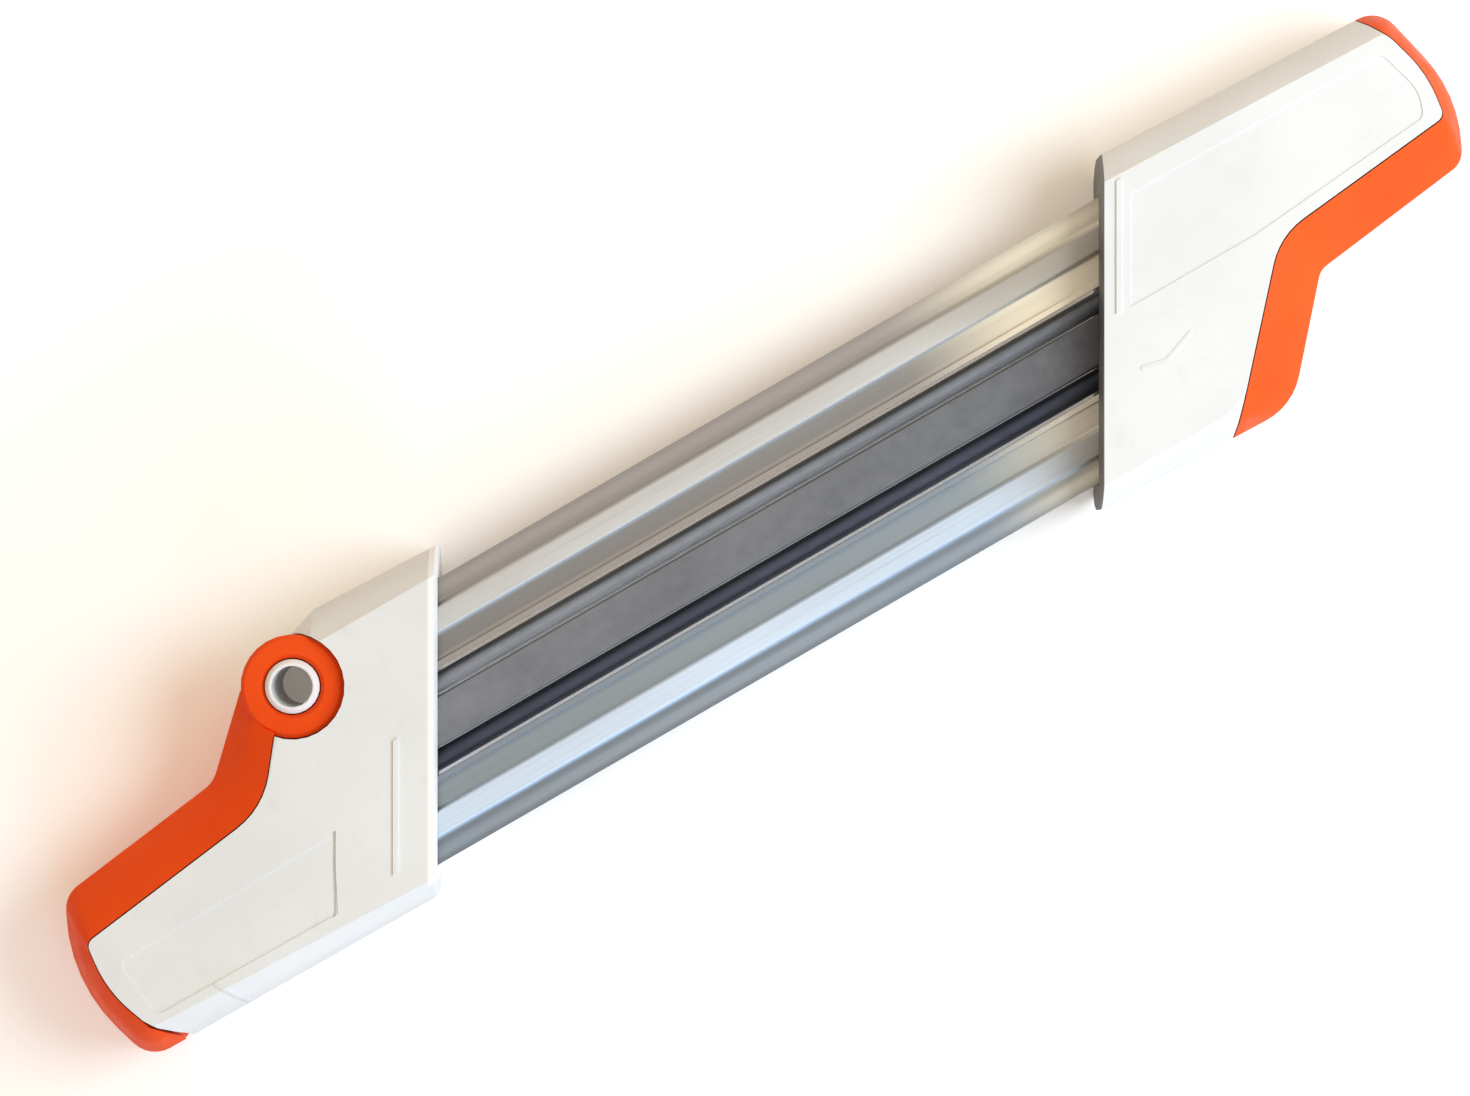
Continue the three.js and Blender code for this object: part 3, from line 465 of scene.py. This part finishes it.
def screw_steel():
    """Zinc-plated steel with a faint spangle."""
    shader = Shader("screw_zinc_steel")
    spot = shader.noise(scale=500, detail=4)
    spots = shader.spread(spot, *NOISE_RANGE)
    base = shader.mix(spots, srgb(168, 170, 172), srgb(206, 207, 206))
    gloss = shader.wander(scale=900, detail=2, low=0.28, high=0.42)
    normal = shader.bump(spot, **ZINC_MARK)
    return shader.finish(Base_Color=base, Metallic=1.0, Roughness=gloss, Normal=normal)


# The release handle's front edge carries a painted highlight
RELEASE_HANDLE = moulded_plastic(
    "release_handle_plastic", **HANDLE_WHITE, tint=front_wall_painted_highlight, marks=(RELEASE_SLANT,),
)
# The fixed handle's front wall carries painted shade
FIXED_HANDLE = moulded_plastic(
    "fixed_handle_plastic", **HANDLE_WHITE, tint=front_wall_painted_shade, marks=(FIXED_TICK,),
)
SLEEVE = moulded_plastic(
    "sleeve_white_plastic",
    colour=srgb(240, 240, 240),
    shade=srgb(230, 230, 230),
    roughness=0.35,
    grain=0.15,
)
TRIM = moulded_plastic(
    "trim_orange_plastic", colour=srgb(243, 94, 33), shade=srgb(235, 88, 31), **GRIP_FINISH,
)
# The lever is the trim's plastic, made a deeper orange with painted shade
LEVER = moulded_plastic(
    "lever_orange_plastic", colour=srgb(243, 82, 20), shade=srgb(236, 76, 18), **GRIP_FINISH,
)
SEAT = moulded_plastic(
    "seat_dark_plastic", colour=srgb(50, 51, 54), shade=srgb(42, 43, 46), roughness=0.6,
)
# The two rails are the same steel: their warm and cool tones, and the pale bead against duller
# flanges, are painted reflections
RAIL_WARM_REFLECTION = rail_steel(
    "rail_steel_painted_warm_reflection",
    flange=srgb(154, 143, 132),
    inner=srgb(132, 125, 118),
    crest=srgb(198, 191, 181),
    edge=srgb(137, 128, 117),
    flange_shading=0.09,
)
RAIL_COOL_REFLECTION = rail_steel(
    "rail_steel_painted_cool_reflection",
    flange=srgb(136, 139, 140),
    inner=srgb(143, 146, 144),
    crest=srgb(205, 211, 216),
    edge=srgb(110, 115, 120),
    flange_shading=0.2,
)
FLAT = file_steel(
    "flat_file_steel",
    colour=srgb(129, 126, 124),
    shade=srgb(118, 115, 114),
    tooth=slanted_teeth,
    fade=FADE_SHARE,
)
# The two round files are the same steel, the first in painted light and the second in painted shade
ROUND_LIT = file_steel(
    "round_file_painted_light",
    colour=srgb(145, 144, 144),
    shade=srgb(134, 133, 133),
    tooth=spiral_teeth(1),
    flank=FILE_MIDDLE + ROUND_FILE_OFFSET,
    fade=FADE_SHARE,
)
ROUND_SHADED = file_steel(
    "round_file_painted_shade",
    colour=srgb(84, 85, 93),
    shade=srgb(73, 74, 81),
    tooth=spiral_teeth(-1),
)
RUBBER = rubber_black()
SCREW = screw_steel()

FINISHES = {
    "fixed_handle_top": FIXED_HANDLE,
    "fixed_handle_bottom": FIXED_HANDLE,
    "release_handle_top": RELEASE_HANDLE,
    "release_handle_bottom": RELEASE_HANDLE,
    "fixed_grip_trim": TRIM,
    "lock_lever": LEVER,
    "pivot_sleeve": SLEEVE,
    "fixed_file_seat": SEAT,
    "release_file_seat": SEAT,
    "guide_rail_locked": RAIL_WARM_REFLECTION,
    "guide_rail_plain": RAIL_COOL_REFLECTION,
    "flat_file": FLAT,
    "round_file_1": ROUND_LIT,
    "round_file_2": ROUND_SHADED,
}


def finish_of(name):
    """Material of a node. Those not listed are rubber buffers, or zinc-plated screws and pins."""
    if name in FINISHES:
        return FINISHES[name]
    return RUBBER if "buffer" in name else SCREW


def smooth_group(limit):
    """Geometry nodes that shade a mesh smooth, except across edges sharper than the limit."""
    tree = bpy.data.node_groups.new("smooth_by_angle", "GeometryNodeTree")
    tree.interface.new_socket("Geometry", in_out="INPUT", socket_type="NodeSocketGeometry")
    tree.interface.new_socket("Geometry", in_out="OUTPUT", socket_type="NodeSocketGeometry")
    inlet = tree.nodes.new("NodeGroupInput")
    outlet = tree.nodes.new("NodeGroupOutput")
    angle = tree.nodes.new("GeometryNodeInputMeshEdgeAngle")
    sharp = tree.nodes.new("FunctionNodeCompare")
    sharp.data_type = "FLOAT"
    sharp.operation = "GREATER_THAN"
    sharp.inputs["B"].default_value = limit
    normals = tree.nodes.new("GeometryNodeSetMeshNormal")
    normals.mode = "SHARPNESS"
    normals.inputs["Remove Custom"].default_value = True
    tree.links.new(angle.outputs["Unsigned Angle"], sharp.inputs["A"])
    tree.links.new(inlet.outputs[0], normals.inputs["Mesh"])
    tree.links.new(sharp.outputs[0], normals.inputs["Edge Sharpness"])
    tree.links.new(normals.outputs[0], outlet.inputs[0])
    return tree


SMOOTH = smooth_group(EDGE_LIMIT)


def soften(piece, width):
    """Moulded or rolled edges: joins the facets, rounds the sharp edges, shades the rest smooth."""
    weld = piece.modifiers.new("joined_facets", "WELD")
    weld.merge_threshold = WELD_REACH
    if width:
        flatten = piece.modifiers.new("flat_faces", "DECIMATE")
        flatten.decimate_type = "DISSOLVE"
        flatten.angle_limit = FLAT_LIMIT
        bevel = piece.modifiers.new("soft_edges", "BEVEL")
        bevel.width = width
        bevel.segments = EDGE_STEPS
        bevel.limit_method = "ANGLE"
        bevel.angle_limit = EDGE_LIMIT
        bevel.use_clamp_overlap = True
    smooth = piece.modifiers.new("smooth_faces", "NODES")
    smooth.node_group = SMOOTH
    flat = piece.modifiers.new("flat_faces_stay_flat", "WEIGHTED_NORMAL")
    flat.keep_sharp = True


def plane(name, size, height, material):
    """A level square."""
    half = size / 2
    mesh = bpy.data.meshes.new(name)
    corners = [(x * half, y * half, height) for x, y in ((-1, -1), (1, -1), (1, 1), (-1, 1))]
    mesh.from_pydata(corners, [], [(0, 1, 2, 3)])
    mesh.materials.append(material)
    piece = bpy.data.objects.new(name, mesh)
    bpy.context.collection.objects.link(piece)
    return piece


def table_material():
    """Matt white table. Seen by the camera, in metal and through glass it is lifted a little, with
    a warm painted glow by the part.
    """
    shader = Shader("table_white")
    path = shader.node("ShaderNodeLightPath", {})
    seen = shader.maths("MAXIMUM", path.outputs["Is Camera Ray"], path.outputs["Is Glossy Ray"])
    seen = shader.maths("MAXIMUM", seen, path.outputs["Is Transmission Ray"])
    flat = shader.stretched((1 / OVAL[0], 1 / OVAL[1], 0))
    away = shader.node("ShaderNodeVectorMath", {0: flat}, operation="LENGTH").outputs["Value"]
    # A lower, warm painted glow inside the oval, which lightens and warms the shadows; a whiter
    # lift beyond it
    lift = shader.mix(shader.smooth(away, 1, OVAL_FADE), NEAR_PAINTED_GLOW, FAR_LIFT)
    return shader.finish(
        Base_Color=(*FLOOR_COLOUR, 1),
        Roughness=FLOOR_ROUGHNESS,
        Emission_Color=lift,
        Emission_Strength=seen,
    )


def add_lamp(name, towards, distance, size, power, colour):
    """A soft round lamp that looks at the middle of the part."""
    light = bpy.data.lights.new(name, "AREA")
    light.shape = "DISK"
    light.size = size
    light.energy = power
    light.color = colour
    lamp = bpy.data.objects.new(name, light)
    direction = Vector(towards).normalized()
    lamp.location = direction * distance
    lamp.rotation_mode = "QUATERNION"
    lamp.rotation_quaternion = direction.to_track_quat("Z", "Y")
    bpy.context.collection.objects.link(lamp)


def add_world():
    """A warm fill that lights the part, and a white background seen behind it."""
    world = bpy.data.worlds.new("studio")
    bpy.context.scene.world = world
    world.use_nodes = True
    tree = world.node_tree
    fill = tree.nodes["Background"]
    fill.inputs["Color"].default_value = (*FILL_COLOUR, 1)
    fill.inputs["Strength"].default_value = FILL_STRENGTH
    white = tree.nodes.new("ShaderNodeBackground")
    white.inputs["Color"].default_value = (1, 1, 1, 1)
    white.inputs["Strength"].default_value = BACKGROUND_STRENGTH
    path = tree.nodes.new("ShaderNodeLightPath")
    choice = tree.nodes.new("ShaderNodeMixShader")
    seen = path.outputs["Is Camera Ray"]
    for other in ("Is Glossy Ray", "Is Transmission Ray"):
        either = tree.nodes.new("ShaderNodeMath")
        either.operation = "MAXIMUM"
        tree.links.new(seen, either.inputs[0])
        tree.links.new(path.outputs[other], either.inputs[1])
        seen = either.outputs[0]
    tree.links.new(seen, choice.inputs[0])
    tree.links.new(fill.outputs[0], choice.inputs[1])
    tree.links.new(white.outputs[0], choice.inputs[2])
    tree.links.new(choice.outputs[0], tree.nodes["World Output"].inputs["Surface"])


def add_camera():
    """A camera that looks straight down, turned by the filing angle."""
    lens = bpy.data.cameras.new("camera")
    lens.sensor_width = SENSOR
    lens.lens = SENSOR * VIEW_DISTANCE / VIEW_WIDTH
    lens.clip_end = CLIP_END
    camera = bpy.data.objects.new("camera", lens)
    turn = Matrix.Rotation(-FILING_ANGLE, 4, "Z")
    place = Matrix.Translation((*VIEW_CENTRE, VIEW_PLANE + VIEW_DISTANCE))
    camera.matrix_world = place @ turn
    bpy.context.collection.objects.link(camera)
    bpy.context.scene.camera = camera


for node_name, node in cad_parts.items():
    finish = finish_of(node_name)
    for slot in node.material_slots:
        slot.material = finish
    soften(node, EDGES.get(node_name, 0))

plane("table", FLOOR_SIZE, -FLOOR_DROP, table_material())
add_lamp("key_light", **KEY_LAMP, colour=KEY_COLOUR)
add_lamp("side_light", **SIDE_LAMP, colour=SIDE_COLOUR)
add_world()
add_camera()
bpy.context.scene.view_settings.view_transform = "Standard"
